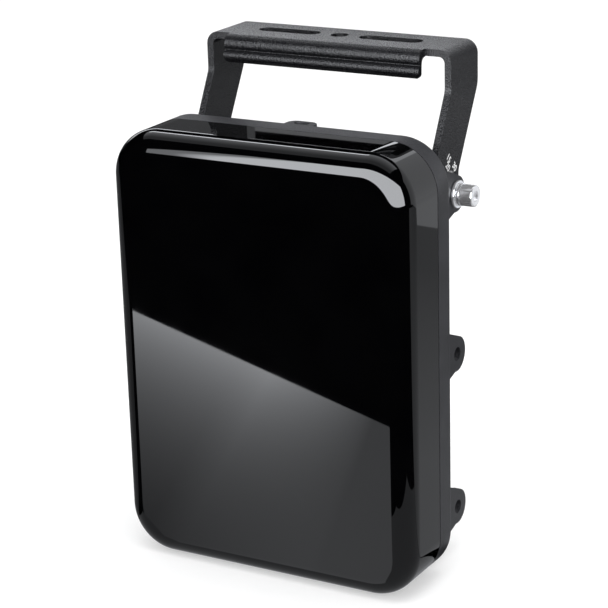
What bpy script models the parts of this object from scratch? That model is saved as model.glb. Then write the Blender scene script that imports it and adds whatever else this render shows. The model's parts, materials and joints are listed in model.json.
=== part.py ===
"""Outdoor cellular signal booster: glossy cover and cast rear housing hung in a tilting yoke bracket.

World frame, in metres: X to the unit's right, Y to the back, Z up. The origin is on the strap's top
face, at the axis of the strap's round hole, where the unit is bolted up. Sizes below are given in the
unit's own coordinates, whose origin is the middle of the parting plane between cover and housing.
"""
import math

import bmesh
import bpy
from mathutils import Matrix, Vector

# ---------------------------------------------------------------- driving dimensions
BODY_WIDTH = 0.200
BODY_HEIGHT = 0.271
CORNER_RADIUS = 0.0294
GAP = 0.0003                    # clearance kept between touching pieces

COVER_DEPTH = 0.0392
COVER_EDGE_RADIUS = 0.0127
COVER_WALL = 0.003

RIM_DEPTH = 0.0162
RIM_EDGE_RADIUS = 0.0025
RIM_WALL = 0.004
SHELF_WALL = 0.003

TUB_WIDTH = 0.136
TUB_HEIGHT = 0.236
TUB_BACK = 0.046
TUB_WALL = 0.003
TUB_RADIUS = 0.012

FIN_COUNT = 11
FIN_PITCH = 0.0115
FIN_THICKNESS = 0.0028
FIN_DEPTH = 0.012
FIN_HEIGHT = 0.206

LUG_OUTER_X = 0.0889
LUG_THICKNESS = 0.004
LUG_RADIUS = 0.011
LUG_HOLE_RADIUS = 0.0043
LUG_PITCH = 0.100
PIVOT_Y = 0.0472
PIVOT_Z = 0.0945

PLATE = 0.0043                  # bracket plate thickness
ARM_OUTER_X = 0.0835
ARM_FRONT = 0.0519
ARM_BACK = 0.0881
ARM_END_RADIUS = 0.014
BEND_RADIUS = 0.008             # outer radius where strap turns into arm
STRAP_TOP = 0.1786
STRAP_HOLE_Y = 0.070
LIP_HALF_LENGTH = 0.0665
SLOT_WIDTH = 0.011
SLOT_LENGTH = 0.042
SLOT_CENTRE_X = 0.0348

BOLT_RADIUS = 0.004             # M8 tilt bolts and their washers and nuts
BOLT_HEAD_RADIUS = 0.0065
BOLT_HEAD_HEIGHT = 0.008
BOLT_TIP_X = 0.0700
BOLT_CHAMFER = 0.0007
SOCKET_RADIUS = 0.0035
SOCKET_DEPTH = 0.0045
FLAT_WASHER_RADIUS = 0.0083
FLAT_WASHER_THICKNESS = 0.0016
SPRING_WASHER_RADIUS = 0.0068
SPRING_WASHER_THICKNESS = 0.0020
SPRING_SLIT = 0.0012
FRICTION_WASHER_RADIUS = 0.0100
FRICTION_WASHER_THICKNESS = 0.0008
NUT_RADIUS = 0.0075
NUT_HEIGHT = 0.0065

EYE_WIDTH = 0.020
EYE_BACK = 0.0262
EYE_TOP = 0.1348
EYE_THICKNESS = 0.0045
EYE_SLOT_Y = 0.0210
EYE_SLOT_LENGTH = 0.0095
EYE_SLOT_WIDTH = 0.0050

SCREW_SPOTS = [(side * 0.075, level) for side in (-1, 1) for level in (-0.112, 0.0, 0.112)]
SCREW_BOSS_RADIUS = 0.0045
SCREW_RADIUS = 0.0015
POST_BORE_RADIUS = 0.0019
COVER_BOSS_END = -0.0014        # the cover's bosses stop short of the rim's posts
POST_FRONT = -0.0008

SEAL_THICKNESS = 0.0026
SEAL_WIDTH = 0.0035
SEAL_Y = 0.0020

UNIT_ORIGIN = Vector((0.0, -STRAP_HOLE_Y, -STRAP_TOP))

ARC_STEPS = 8                   # segments in a quarter turn of a plate's outline
CUT = 0.010                     # how far a cutter runs past the plate it cuts


# ---------------------------------------------------------------- scene, materials, frames
def clear_scene():
    for item in list(bpy.data.objects):
        bpy.data.objects.remove(item, do_unlink=True)


def new_collection(name):
    group = bpy.data.collections.new(name)
    bpy.context.scene.collection.children.link(group)
    return group


def new_empty(name, location, parent=None):
    empty = bpy.data.objects.new(name, None)
    PARTS.objects.link(empty)
    empty.parent = parent
    empty.location = location
    return empty


def material(name, colour, roughness, metallic=0.0):
    finish = bpy.data.materials.new(name)
    finish.use_nodes = True
    shader = finish.node_tree.nodes["Principled BSDF"]
    shader.inputs["Base Color"].default_value = (*colour, 1.0)
    shader.inputs["Roughness"].default_value = roughness
    shader.inputs["Metallic"].default_value = metallic
    return finish


def add_object(name, mesh, finish=None, parent=None):
    piece = bpy.data.objects.new(name, mesh)
    PARTS.objects.link(piece)
    piece.parent = parent or UNIT
    if finish:
        mesh.materials.append(finish)
    return piece


def as_cutter(piece):
    """Turn an object into a hidden helper that only Boolean modifiers use."""
    PARTS.objects.unlink(piece)
    CUTTERS.objects.link(piece)
    piece.hide_render = True
    piece.display_type = "WIRE"
    return piece


def boolean(piece, helper, operation):
    change = piece.modifiers.new(operation.lower() + "_" + helper.name, "BOOLEAN")
    change.operation = operation
    change.solver = "EXACT"
    change.object = as_cutter(helper) if helper.name not in CUTTERS.objects else helper
    return piece


def finish_mesh(body, name):
    bmesh.ops.recalc_face_normals(body, faces=body.faces)
    mesh = bpy.data.meshes.new(name)
    body.to_mesh(mesh)
    body.free()
    return mesh


# ---------------------------------------------------------------- shape helpers
def block_mesh(name, size, centre, corner_axis=None, corner_radius=0.0, steps=4,
               edge_side=None, edge_radius=0.0, edge_steps=3, open_side=None):
    """A box with rounded corners along one axis, and optionally a rounded rim on one side.

    edge_side and open_side are (axis index, sign): the face whose rim is rounded, or which is removed.
    """
    body = bmesh.new()
    bmesh.ops.create_cube(body, size=1.0)
    bmesh.ops.scale(body, vec=Vector(size), verts=body.verts)
    if corner_radius:
        edges = [e for e in body.edges
                 if abs((e.verts[0].co - e.verts[1].co).normalized()[corner_axis]) > 0.99]
        bmesh.ops.bevel(body, geom=edges, offset=corner_radius, offset_type="OFFSET", segments=steps,
                        profile=0.5, affect="EDGES", clamp_overlap=False)
    if edge_radius:
        axis, sign = edge_side
        level = sign * size[axis] / 2
        edges = [e for e in body.edges
                 if all(abs(v.co[axis] - level) < 1e-7 for v in e.verts) and len(e.link_faces) == 2
                 and any(abs(f.normal[axis]) < 0.5 for f in e.link_faces)]
        bmesh.ops.bevel(body, geom=edges, offset=edge_radius, offset_type="OFFSET",
                        segments=edge_steps, profile=0.5, affect="EDGES", clamp_overlap=False)
    if open_side:
        axis, sign = open_side
        level = sign * size[axis] / 2
        faces = [f for f in body.faces if all(abs(v.co[axis] - level) < 1e-7 for v in f.verts)]
        bmesh.ops.delete(body, geom=faces, context="FACES_ONLY")
    bmesh.ops.translate(body, vec=Vector(centre), verts=body.verts)
    return finish_mesh(body, name)


def block(name, size, centre, finish=None, **shape):
    return add_object(name, block_mesh(name, size, centre, **shape), finish)


def arc(centre, radius, start, end, steps=ARC_STEPS):
    """Points of an arc in a plane, from start to end in degrees."""
    points = []
    for index in range(steps + 1):
        angle = math.radians(start + (end - start) * index / steps)
        points.append((centre[0] + radius * math.cos(angle), centre[1] + radius * math.sin(angle)))
    return points


def rounded_outline(corners):
    """Outline points for (a, b, radius) corners, each rounded by an arc tangent to its two sides."""
    points = []
    count = len(corners)
    for index, (a, b, radius) in enumerate(corners):
        here = Vector((a, b))
        if radius == 0:
            points.append((a, b))
            continue
        before = (Vector(corners[index - 1][:2]) - here).normalized()
        after = (Vector(corners[(index + 1) % count][:2]) - here).normalized()
        half = before.angle(after) / 2
        start = here + before * radius / math.tan(half)
        end = here + after * radius / math.tan(half)
        middle = here + (before + after).normalized() * radius / math.sin(half)
        sweep = (start - middle).angle(end - middle)
        steps = max(2, round(sweep / math.radians(90 / ARC_STEPS)))
        turn = 1 if (start - middle).cross(end - middle) > 0 else -1
        for step in range(steps + 1):
            spoke = (start - middle).copy()
            spoke.rotate(Matrix.Rotation(turn * sweep * step / steps, 2))
            points.append(tuple(middle + spoke))
    return points


def prism(name, outline, low, high, axis, finish=None):
    """An outline extruded along X, Y or Z, from low to high. Its points are (Y, Z), (X, Z) or (X, Y)."""
    curve = bpy.data.curves.new(name, "CURVE")
    curve.dimensions = "2D"
    curve.fill_mode = "BOTH"
    curve.extrude = (high - low) / 2
    spline = curve.splines.new("POLY")
    spline.points.add(len(outline) - 1)
    for point, (a, b) in zip(spline.points, outline):
        point.co = (a, b, 0.0, 1.0)
    spline.use_cyclic_u = True
    flat = bpy.data.objects.new(name + "_outline", curve)
    PARTS.objects.link(flat)
    bpy.context.view_layer.update()
    mesh = bpy.data.meshes.new_from_object(flat.evaluated_get(bpy.context.evaluated_depsgraph_get()))
    bpy.data.objects.remove(flat)
    columns = {"X": ((0, 0, 1), (1, 0, 0), (0, 1, 0)),
               "Y": ((1, 0, 0), (0, 0, 1), (0, 1, 0)),
               "Z": ((1, 0, 0), (0, 1, 0), (0, 0, 1))}[axis]
    place = Matrix(columns).to_4x4()
    place.translation = Vector([(low + high) / 2 if letter == axis else 0.0 for letter in "XYZ"])
    body = bmesh.new()
    body.from_mesh(mesh)
    bmesh.ops.transform(body, matrix=place, verts=body.verts)
    bmesh.ops.remove_doubles(body, verts=body.verts, dist=1e-6)
    bpy.data.meshes.remove(mesh)
    return add_object(name, finish_mesh(body, name), finish)


def turned(name, profile, place, direction, finish=None, steps=24, parent=None):
    """A profile of (radius, height) points turned about local Z, which is then aimed along direction."""
    mesh = bpy.data.meshes.new(name)
    closed = profile[0][0] > 0 and profile[-1][0] > 0
    edges = [(i, i + 1) for i in range(len(profile) - 1)]
    if closed:
        edges.append((len(profile) - 1, 0))
    mesh.from_pydata([(radius, 0.0, height) for radius, height in profile], edges, [])
    piece = add_object(name, mesh, finish, parent)
    turn = piece.modifiers.new("turn", "SCREW")
    turn.axis = "Z"
    turn.steps = steps
    turn.render_steps = steps
    turn.use_merge_vertices = True
    turn.merge_threshold = 0.00001
    turn.use_smooth_shade = False
    piece.rotation_euler = Vector((0, 0, 1)).rotation_difference(Vector(direction)).to_euler()
    piece.location = place
    return piece


def rod(name, radius, low, high, axis, centre, finish=None, sides=24, spin=0.0):
    """A cylinder or, with few sides, a hexagonal bar, from low to high along X, Y or Z."""
    body = bmesh.new()
    bmesh.ops.create_cone(body, cap_ends=True, segments=sides, radius1=radius, radius2=radius,
                          depth=high - low)
    aim = {"X": Matrix.Rotation(math.pi / 2, 3, "Y"), "Y": Matrix.Rotation(-math.pi / 2, 3, "X"),
           "Z": Matrix.Identity(3)}[axis]
    bmesh.ops.rotate(body, matrix=Matrix.Rotation(spin, 3, "Z"), verts=body.verts)
    bmesh.ops.rotate(body, matrix=aim, verts=body.verts)
    offsets = {"X": ((low + high) / 2, centre[0], centre[1]),
               "Y": (centre[0], (low + high) / 2, centre[1]),
               "Z": (centre[0], centre[1], (low + high) / 2)}
    bmesh.ops.translate(body, vec=Vector(offsets[axis]), verts=body.verts)
    return add_object(name, finish_mesh(body, name), finish)


def ring_profile(inner, outer, low, high):
    return [(outer, high), (outer, low), (inner, low), (inner, high)]


def tube(name, points, radius, finish):
    """A round wire along a poly line."""
    curve = bpy.data.curves.new(name, "CURVE")
    curve.dimensions = "3D"
    curve.bevel_depth = radius
    curve.bevel_resolution = 2
    curve.use_fill_caps = True
    spline = curve.splines.new("POLY")
    spline.points.add(len(points) - 1)
    for point, place in zip(spline.points, points):
        point.co = (*place, 1.0)
    curve.materials.append(finish)
    wire = bpy.data.objects.new(name, curve)
    PARTS.objects.link(wire)
    wire.parent = UNIT
    weld = wire.modifiers.new("weld_caps", "WELD")
    weld.merge_threshold = 0.00001
    return wire


# ---------------------------------------------------------------- bracket
def make_yoke_bracket():
    """A U of bent plate: the U seen from the front, met by the arm's outline seen from the side."""
    foot = PIVOT_Z - ARM_END_RADIUS - 0.002
    inner_x = ARM_OUTER_X - PLATE
    inner_radius = BEND_RADIUS - PLATE
    corner_x = ARM_OUTER_X - BEND_RADIUS
    corner_z = STRAP_TOP - BEND_RADIUS
    outer = arc((corner_x, corner_z), BEND_RADIUS, 0, 90)
    inner = arc((corner_x, corner_z), inner_radius, 90, 0)
    right_outer = [(ARM_OUTER_X, foot)] + outer
    right_inner = inner + [(inner_x, foot)]
    left_outer = [(-x, z) for x, z in reversed(right_outer)]
    left_inner = [(-x, z) for x, z in reversed(right_inner)]
    u_shape = right_outer + left_outer + left_inner + right_inner
    bracket = prism("yoke_bracket", u_shape, ARM_FRONT - 2 * CUT, ARM_BACK + CUT, "Y", POWDER_COAT)

    neck_top = 0.1543           # the arm slants back between neck_low and neck_top in front,
    neck_low = 0.1198           # and between heel_low and heel_top behind
    heel_top = 0.1525
    heel_low = 0.1055
    round_end = arc((PIVOT_Y, PIVOT_Z), ARM_END_RADIUS, 180, 360, 14)
    side = rounded_outline([
        (ARM_BACK, STRAP_TOP + 0.002, 0),
        (ARM_FRONT, STRAP_TOP + 0.002, 0),
        (ARM_FRONT, neck_top, 0.010),
        (PIVOT_Y - ARM_END_RADIUS, neck_low, 0.010),
        *[(y, z, 0) for y, z in round_end],
        (PIVOT_Y + ARM_END_RADIUS, heel_low, 0.008),
        (ARM_BACK, heel_top, 0.012),
    ])
    reach = ARM_OUTER_X + CUT
    boolean(bracket, prism("arm_side_cutter", side, -reach, reach, "X"), "INTERSECT")
    boolean(bracket, make_strap_lip(), "UNION")
    low, high = STRAP_TOP - PLATE - CUT, STRAP_TOP + CUT
    for index, centre_x in enumerate((-SLOT_CENTRE_X, SLOT_CENTRE_X)):
        half = SLOT_LENGTH / 2 - SLOT_WIDTH / 2
        ends = (arc((centre_x + half, STRAP_HOLE_Y), SLOT_WIDTH / 2, -90, 90)
                + arc((centre_x - half, STRAP_HOLE_Y), SLOT_WIDTH / 2, 90, 270))
        boolean(bracket, prism(f"slot_cutter_{index}", ends, low, high, "Z"), "DIFFERENCE")
    boolean(bracket, rod("strap_hole_cutter", SLOT_WIDTH / 2, low, high, "Z", (0, STRAP_HOLE_Y)),
            "DIFFERENCE")
    boolean(bracket, rod("pivot_hole_cutter", LUG_HOLE_RADIUS, -reach, reach, "X",
                         (PIVOT_Y, PIVOT_Z)), "DIFFERENCE")
    return bracket


def make_strap_lip():
    """The strap's front lip: rolled forward and down, with one crease along it."""
    top = STRAP_TOP
    under = STRAP_TOP - PLATE
    outer = [(ARM_FRONT + 0.003, top), (0.0500, top), *arc((0.0500, top - 0.0058), 0.0058, 100, 172, 6),
             (0.0447, top - 0.0078), (0.0440, top - 0.0088), (0.0431, top - 0.0100),
             (0.0428, top - 0.0122), (0.0431, top - 0.0150)]
    inner = [(0.0446, top - 0.0158), (0.0470, top - 0.0150), (0.0474, top - 0.0100),
             *arc((0.0510, under - 0.0040), 0.0032, 172, 100, 4), (ARM_FRONT + 0.003, under)]
    return prism("strap_lip_helper", outer + inner, -LIP_HALF_LENGTH, LIP_HALF_LENGTH, "X")


# ---------------------------------------------------------------- cover and housing
def make_front_cover():
    depth = COVER_DEPTH - GAP
    cover = block("front_cover", (BODY_WIDTH, depth, BODY_HEIGHT), (0, -GAP - depth / 2, 0), GLOSS_BLACK,
                  corner_axis=1, corner_radius=CORNER_RADIUS, steps=10,
                  edge_side=(1, -1), edge_radius=COVER_EDGE_RADIUS, edge_steps=6, open_side=(1, 1))
    wall = cover.modifiers.new("wall", "SOLIDIFY")
    wall.thickness = COVER_WALL
    wall.offset = -1.0
    wall.use_even_offset = True
    for index, spot in enumerate(SCREW_SPOTS):
        boss = rod(f"cover_boss_{index}", SCREW_BOSS_RADIUS, -COVER_DEPTH + COVER_WALL / 2,
                   COVER_BOSS_END, "Y", spot, sides=12)
        boolean(cover, boss, "UNION")
    for index, spot in enumerate(SCREW_SPOTS):
        hole = rod(f"cover_boss_hole_{index}", SCREW_RADIUS + GAP, -0.016, 0.002, "Y", spot, sides=12)
        boolean(cover, hole, "DIFFERENCE")
    return cover


def make_cover_seal():
    """A flat rubber ring just inside the parting line, between the cover's wall and the screws."""
    width = BODY_WIDTH - 2 * RIM_WALL - 2 * GAP
    height = BODY_HEIGHT - 2 * RIM_WALL - 2 * GAP
    radius = CORNER_RADIUS - RIM_WALL
    seal = block("cover_seal", (width, SEAL_THICKNESS, height), (0, SEAL_Y, 0), RUBBER,
                 corner_axis=1, corner_radius=radius, steps=8)
    opening = block("seal_cutter", (width - 2 * SEAL_WIDTH, CUT, height - 2 * SEAL_WIDTH), (0, SEAL_Y, 0),
                    corner_axis=1, corner_radius=radius - SEAL_WIDTH, steps=8)
    return boolean(seal, opening, "DIFFERENCE")


def lug_outline(centre_z):
    """Side view of a cast lug: round at the hole and spreading to its root on the rim's back."""
    top_slope = math.radians(21.6)
    low_slope = math.radians(14.0)
    root_y = RIM_DEPTH - 0.002 - PIVOT_Y
    top_root = (LUG_RADIUS - root_y * math.sin(top_slope)) / math.cos(top_slope)
    low_root = -(LUG_RADIUS - root_y * math.sin(low_slope)) / math.cos(low_slope)
    rim = arc((0.0, 0.0), LUG_RADIUS, -90 - math.degrees(low_slope), 90 - math.degrees(top_slope), 14)
    shape = [(root_y, low_root)] + rim + [(root_y, top_root)]
    return [(PIVOT_Y + y, centre_z + z) for y, z in shape]


def make_rear_housing():
    """Die casting: rim, tub behind it, cooling fins and six side lugs."""
    rim_depth = RIM_DEPTH - GAP
    housing = block("rear_housing", (BODY_WIDTH, rim_depth, BODY_HEIGHT), (0, GAP + rim_depth / 2, 0),
                    CAST_BLACK, corner_axis=1, corner_radius=CORNER_RADIUS, steps=10,
                    edge_side=(1, 1), edge_radius=RIM_EDGE_RADIUS, edge_steps=3)
    tub_front = RIM_DEPTH - SHELF_WALL / 2
    tub = block("tub_helper", (TUB_WIDTH, TUB_BACK - tub_front, TUB_HEIGHT),
                (0, (TUB_BACK + tub_front) / 2, 0), corner_axis=1, corner_radius=TUB_RADIUS, steps=5,
                edge_side=(1, 1), edge_radius=0.003, edge_steps=2)
    boolean(housing, tub, "UNION")
    for index in range(FIN_COUNT):
        centre_x = (index - (FIN_COUNT - 1) / 2) * FIN_PITCH
        fin = block(f"fin_helper_{index}", (FIN_THICKNESS, FIN_DEPTH + 0.001, FIN_HEIGHT),
                    (centre_x, TUB_BACK - 0.001 + (FIN_DEPTH + 0.001) / 2, 0),
                    corner_axis=0, corner_radius=0.0008, steps=1)
        boolean(housing, fin, "UNION")
    for side in (-1, 1):
        low, high = sorted((side * (LUG_OUTER_X - LUG_THICKNESS), side * LUG_OUTER_X))
        for level in range(3):
            lug = prism(f"lug_helper_{side}_{level}", lug_outline(PIVOT_Z - level * LUG_PITCH),
                        low, high, "X")
            boolean(housing, lug, "UNION")

    cavity = block("rim_cavity", (BODY_WIDTH - 2 * RIM_WALL, RIM_DEPTH - SHELF_WALL + 0.010,
                                  BODY_HEIGHT - 2 * RIM_WALL),
                   (0, (RIM_DEPTH - SHELF_WALL - 0.010) / 2, 0), corner_axis=1,
                   corner_radius=CORNER_RADIUS - RIM_WALL, steps=8)
    boolean(housing, cavity, "DIFFERENCE")
    tub_cavity = block("tub_cavity", (TUB_WIDTH - 2 * TUB_WALL, TUB_BACK - TUB_WALL - 0.008,
                                      TUB_HEIGHT - 2 * TUB_WALL),
                       (0, (TUB_BACK - TUB_WALL + 0.008) / 2, 0), corner_axis=1,
                       corner_radius=TUB_RADIUS - TUB_WALL, steps=5)
    boolean(housing, tub_cavity, "DIFFERENCE")
    for index, spot in enumerate(SCREW_SPOTS):
        post = rod(f"rim_post_{index}", SCREW_BOSS_RADIUS, POST_FRONT, RIM_DEPTH - 0.001, "Y", spot,
                   sides=12)
        boolean(housing, post, "UNION")
    for index, spot in enumerate(SCREW_SPOTS):
        hole = rod(f"rim_post_hole_{index}", POST_BORE_RADIUS, POST_FRONT - CUT, RIM_DEPTH + CUT, "Y", spot,
                   sides=12)
        boolean(housing, hole, "DIFFERENCE")
    for side in (-1, 1):
        low, high = sorted((side * (LUG_OUTER_X - LUG_THICKNESS), side * LUG_OUTER_X))
        for level in range(3):
            hole = rod(f"lug_hole_{side}_{level}", LUG_HOLE_RADIUS, low - LUG_THICKNESS,
                       high + LUG_THICKNESS, "X", (PIVOT_Y, PIVOT_Z - level * LUG_PITCH))
            boolean(housing, hole, "DIFFERENCE")
    for name, radius, centre_x in UNDERSIDE_HOLES:
        hole = rod(f"{name}_hole", radius, -TUB_HEIGHT / 2 - 0.002, -TUB_HEIGHT / 2 + 0.005, "Z",
                   (centre_x, UNDERSIDE_Y), sides=20)
        boolean(housing, hole, "DIFFERENCE")
    return housing


def make_tether_eye():
    """A small ear on the rim's back, at top centre, with a slot for a safety tether."""
    front = RIM_DEPTH + GAP
    depth = EYE_BACK - front
    eye = block("tether_eye", (EYE_WIDTH, depth, EYE_THICKNESS),
                (0, front + depth / 2, EYE_TOP - EYE_THICKNESS / 2), CAST_BLACK)
    taper = eye.modifiers.new("round_back_corners", "BEVEL")
    taper.limit_method = "WEIGHT"
    taper.width = 0.006
    taper.segments = 5
    weights = eye.data.attributes.new("bevel_weight_edge", "FLOAT", "EDGE")
    for edge in eye.data.edges:
        ends = [eye.data.vertices[index].co for index in edge.vertices]
        upright = abs(ends[0].z - ends[1].z) > 0.001
        weights.data[edge.index].value = 1.0 if upright and ends[0].y > front + 0.001 else 0.0
    slot = block("eye_slot", (EYE_SLOT_LENGTH, EYE_SLOT_WIDTH, CUT),
                 (0, EYE_SLOT_Y, EYE_TOP - EYE_THICKNESS / 2),
                 corner_axis=2, corner_radius=0.48 * EYE_SLOT_WIDTH, steps=4)
    return boolean(eye, slot, "DIFFERENCE")


def make_cover_screws():
    """Six socket screws from the shelf's back, through the rim's posts and into the cover's bosses."""
    profile = [(0, 0.0030), (0.0024, 0.0030), (0.0027, 0.0026), (0.0027, 0), (SCREW_RADIUS, 0),
               (SCREW_RADIUS, -0.028), (0, -0.0285)]
    for index, (x, z) in enumerate(SCREW_SPOTS):
        screw = turned(f"cover_screw_{index + 1}", profile, (x, RIM_DEPTH + GAP, z), (0, 1, 0),
                       STAINLESS, steps=12)
        socket = rod(f"cover_screw_socket_{index}", 0.0013, RIM_DEPTH + 0.0015, RIM_DEPTH + 0.006, "Y",
                     (x, z), sides=6)
        boolean(screw, socket, "DIFFERENCE")


# ---------------------------------------------------------------- pivot hardware
def make_pivot_hardware(side, word):
    """Bolt, spring washer, flat washer, lug, friction washer, arm and nut, from outside inwards."""
    direction = (side, 0, 0)

    def at(x):
        return (side * x, PIVOT_Y, PIVOT_Z)

    bore = BOLT_RADIUS + GAP
    washer_x = LUG_OUTER_X + GAP
    spring_x = washer_x + FLAT_WASHER_THICKNESS + GAP
    head_x = spring_x + SPRING_WASHER_THICKNESS + GAP
    head_top = head_x + BOLT_HEAD_HEIGHT
    tip = BOLT_TIP_X - head_x
    profile = [(0, BOLT_HEAD_HEIGHT), (BOLT_HEAD_RADIUS - BOLT_CHAMFER, BOLT_HEAD_HEIGHT),
               (BOLT_HEAD_RADIUS, BOLT_HEAD_HEIGHT - BOLT_CHAMFER), (BOLT_HEAD_RADIUS, 0),
               (BOLT_RADIUS, 0), (BOLT_RADIUS, tip + BOLT_CHAMFER), (BOLT_RADIUS - BOLT_CHAMFER, tip),
               (0, tip)]
    bolt = turned(f"tilt_bolt_{word}", profile, at(head_x), direction, STAINLESS)
    low, high = sorted((side * (head_top - SOCKET_DEPTH), side * (head_top + SOCKET_DEPTH)))
    socket = rod(f"tilt_socket_{word}", SOCKET_RADIUS, low, high, "X", (PIVOT_Y, PIVOT_Z), sides=6)
    boolean(bolt, socket, "DIFFERENCE")

    spring = turned(f"spring_washer_{word}",
                    ring_profile(bore, SPRING_WASHER_RADIUS, 0, SPRING_WASHER_THICKNESS),
                    at(spring_x), direction, STAINLESS)
    slit = block(f"spring_slit_{word}", (2 * SPRING_WASHER_THICKNESS, SPRING_SLIT, CUT),
                 (side * (spring_x + SPRING_WASHER_THICKNESS / 2), PIVOT_Y, PIVOT_Z + 0.6 * CUT))
    boolean(spring, slit, "DIFFERENCE")

    turned(f"flat_washer_{word}", ring_profile(bore, FLAT_WASHER_RADIUS, 0, FLAT_WASHER_THICKNESS),
           at(washer_x), direction, STAINLESS)
    turned(f"friction_washer_{word}",
           ring_profile(bore, FRICTION_WASHER_RADIUS, 0, FRICTION_WASHER_THICKNESS),
           at(ARM_OUTER_X + GAP), direction, NYLON)

    nut_face = ARM_OUTER_X - PLATE - GAP
    low, high = sorted((side * (nut_face - NUT_HEIGHT), side * nut_face))
    nut = rod(f"pivot_nut_{word}", NUT_RADIUS, low, high, "X", (PIVOT_Y, PIVOT_Z), STAINLESS, sides=6)
    nut_bore = rod(f"pivot_nut_bore_{word}", bore, low - CUT, high + CUT, "X", (PIVOT_Y, PIVOT_Z))
    boolean(nut, nut_bore, "DIFFERENCE")
    nut.parent = BRACKET


# ---------------------------------------------------------------- antenna, behind the cover
ANTENNA_FACE = -0.0290
REFLECTOR_BACK = -0.0180
REFLECTOR_HOLE_RADIUS = 0.0057
ANTENNA_POSTS = [(side * 0.082, level) for side in (-1, 1) for level in (-0.080, 0.060)]


def make_antenna():
    block("antenna_board", (0.138, 0.0016, 0.232), (0, ANTENNA_FACE + 0.0008, 0), BOARD_WHITE,
          corner_axis=1, corner_radius=0.006, steps=3)
    for index, (x, z) in enumerate([(-0.036, 0.056), (0.036, 0.056), (-0.036, -0.056), (0.036, -0.056)]):
        block(f"patch_element_{index + 1}", (0.052, 0.0008, 0.052), (x, ANTENNA_FACE - GAP - 0.0004, z),
              COPPER, corner_axis=1, corner_radius=0.004, steps=2)
    plate = block("reflector_plate", (0.178, 0.0015, 0.236), (0, REFLECTOR_BACK - 0.00075, 0), ALUMINIUM,
                  corner_axis=1, corner_radius=0.010, steps=4)
    for index, spot in enumerate(SCREW_SPOTS):
        hole = rod(f"reflector_hole_{index}", REFLECTOR_HOLE_RADIUS, REFLECTOR_BACK - CUT,
                   REFLECTOR_BACK + CUT, "Y", spot, sides=16)
        boolean(plate, hole, "DIFFERENCE")
    for index, spot in enumerate([(-0.060, -0.095), (0.060, -0.095), (-0.060, 0.095), (0.060, 0.095)]):
        rod(f"antenna_spacer_{index + 1}", 0.003, ANTENNA_FACE + 0.0016 + GAP,
            REFLECTOR_BACK - 0.0015 - GAP, "Y", spot, NYLON, sides=12)
    for index, spot in enumerate(ANTENNA_POSTS):
        rod(f"antenna_standoff_{index + 1}", 0.0032, REFLECTOR_BACK + GAP,
            RIM_DEPTH - SHELF_WALL - GAP, "Y", spot, BRASS, sides=6)


# ---------------------------------------------------------------- electronics in the tub
BOARD_FRONT = 0.0280
BOARD_THICKNESS = 0.0016
BOARD_SPOTS = [(side * 0.054, level) for side in (-1, 1) for level in (-0.100, 0.100)]


def make_electronics():
    board_back = BOARD_FRONT + BOARD_THICKNESS
    tub_floor = TUB_BACK - TUB_WALL
    board = block("main_board", (0.120, BOARD_THICKNESS, 0.216),
                  (0, BOARD_FRONT + BOARD_THICKNESS / 2, 0), BOARD_GREEN,
                  corner_axis=1, corner_radius=0.004, steps=2)
    for index, (x, z) in enumerate(BOARD_SPOTS):
        hole = rod(f"board_hole_{index}", SCREW_RADIUS + GAP, BOARD_FRONT - 0.002, board_back + 0.002,
                   "Y", (x, z), sides=12)
        boolean(board, hole, "DIFFERENCE")
        standoff = rod(f"board_standoff_{index + 1}", 0.0030, board_back + GAP, tub_floor - GAP, "Y",
                       (x, z), BRASS, sides=6)
        bore = rod(f"standoff_bore_{index}", SCREW_RADIUS + GAP, board_back - 0.001, tub_floor - 0.003,
                   "Y", (x, z), sides=12)
        boolean(standoff, bore, "DIFFERENCE")
        profile = [(0, 0.0020), (0.0020, 0.0020), (0.0028, 0.0008), (0.0028, 0), (SCREW_RADIUS, 0),
                   (SCREW_RADIUS, -0.0090), (0, -0.0094)]
        turned(f"board_screw_{index + 1}", profile, (x, BOARD_FRONT - GAP, z), (0, -1, 0), STAINLESS,
               steps=12)
    can_back = tub_floor - 0.0030
    for word, width, height, centre in (("rf", 0.086, 0.080, (0, 0.046)),
                                        ("digital", 0.086, 0.074, (0, -0.044))):
        size = (width, can_back - board_back - GAP, height)
        middle = (centre[0], (can_back + board_back + GAP) / 2, centre[1])
        can = block(f"{word}_shield_can", size, middle, TINPLATE, corner_axis=1, corner_radius=0.002,
                    steps=2, open_side=(1, -1))
        sheet = can.modifiers.new("sheet", "SOLIDIFY")
        sheet.thickness = 0.0006
        sheet.offset = -1.0
        sheet.use_even_offset = True
        block(f"{word}_thermal_pad", (width - 0.010, 0.0030 - 2 * GAP, height - 0.010),
              (centre[0], can_back + 0.0015, centre[1]), PAD_GREY,
              corner_axis=1, corner_radius=0.002, steps=2)
    block("duplexer_block", (0.100, 0.018, 0.056), (0, BOARD_FRONT - GAP - 0.009, 0.058), ALUMINIUM,
          corner_axis=1, corner_radius=0.002, steps=2)
    block("power_module", (0.062, 0.020, 0.078), (-0.020, BOARD_FRONT - GAP - 0.010, -0.044), BLACK_PLASTIC,
          corner_axis=1, corner_radius=0.003, steps=2)
    block("data_transformer", (0.018, 0.009, 0.018), (0.036, BOARD_FRONT - GAP - 0.0045, -0.074),
          BLACK_PLASTIC, corner_axis=1, corner_radius=0.001, steps=1)
    for side, word in ((-1, "left"), (1, "right")):
        route = [(side * 0.056, BOARD_FRONT - 0.0010, 0.015), (side * 0.056, 0.022, 0.015),
                 (side * 0.0565, 0.016, 0.0165), (side * 0.058, 0.010, 0.020), (side * 0.060, 0.003, 0.025),
                 (side * 0.0615, -0.004, 0.030), (side * 0.062, -0.010, 0.032),
                 (side * 0.062, REFLECTOR_BACK + 0.001, 0.032)]
        tube(f"rf_jumper_{word}", route, 0.0018, COPPER)


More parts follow.
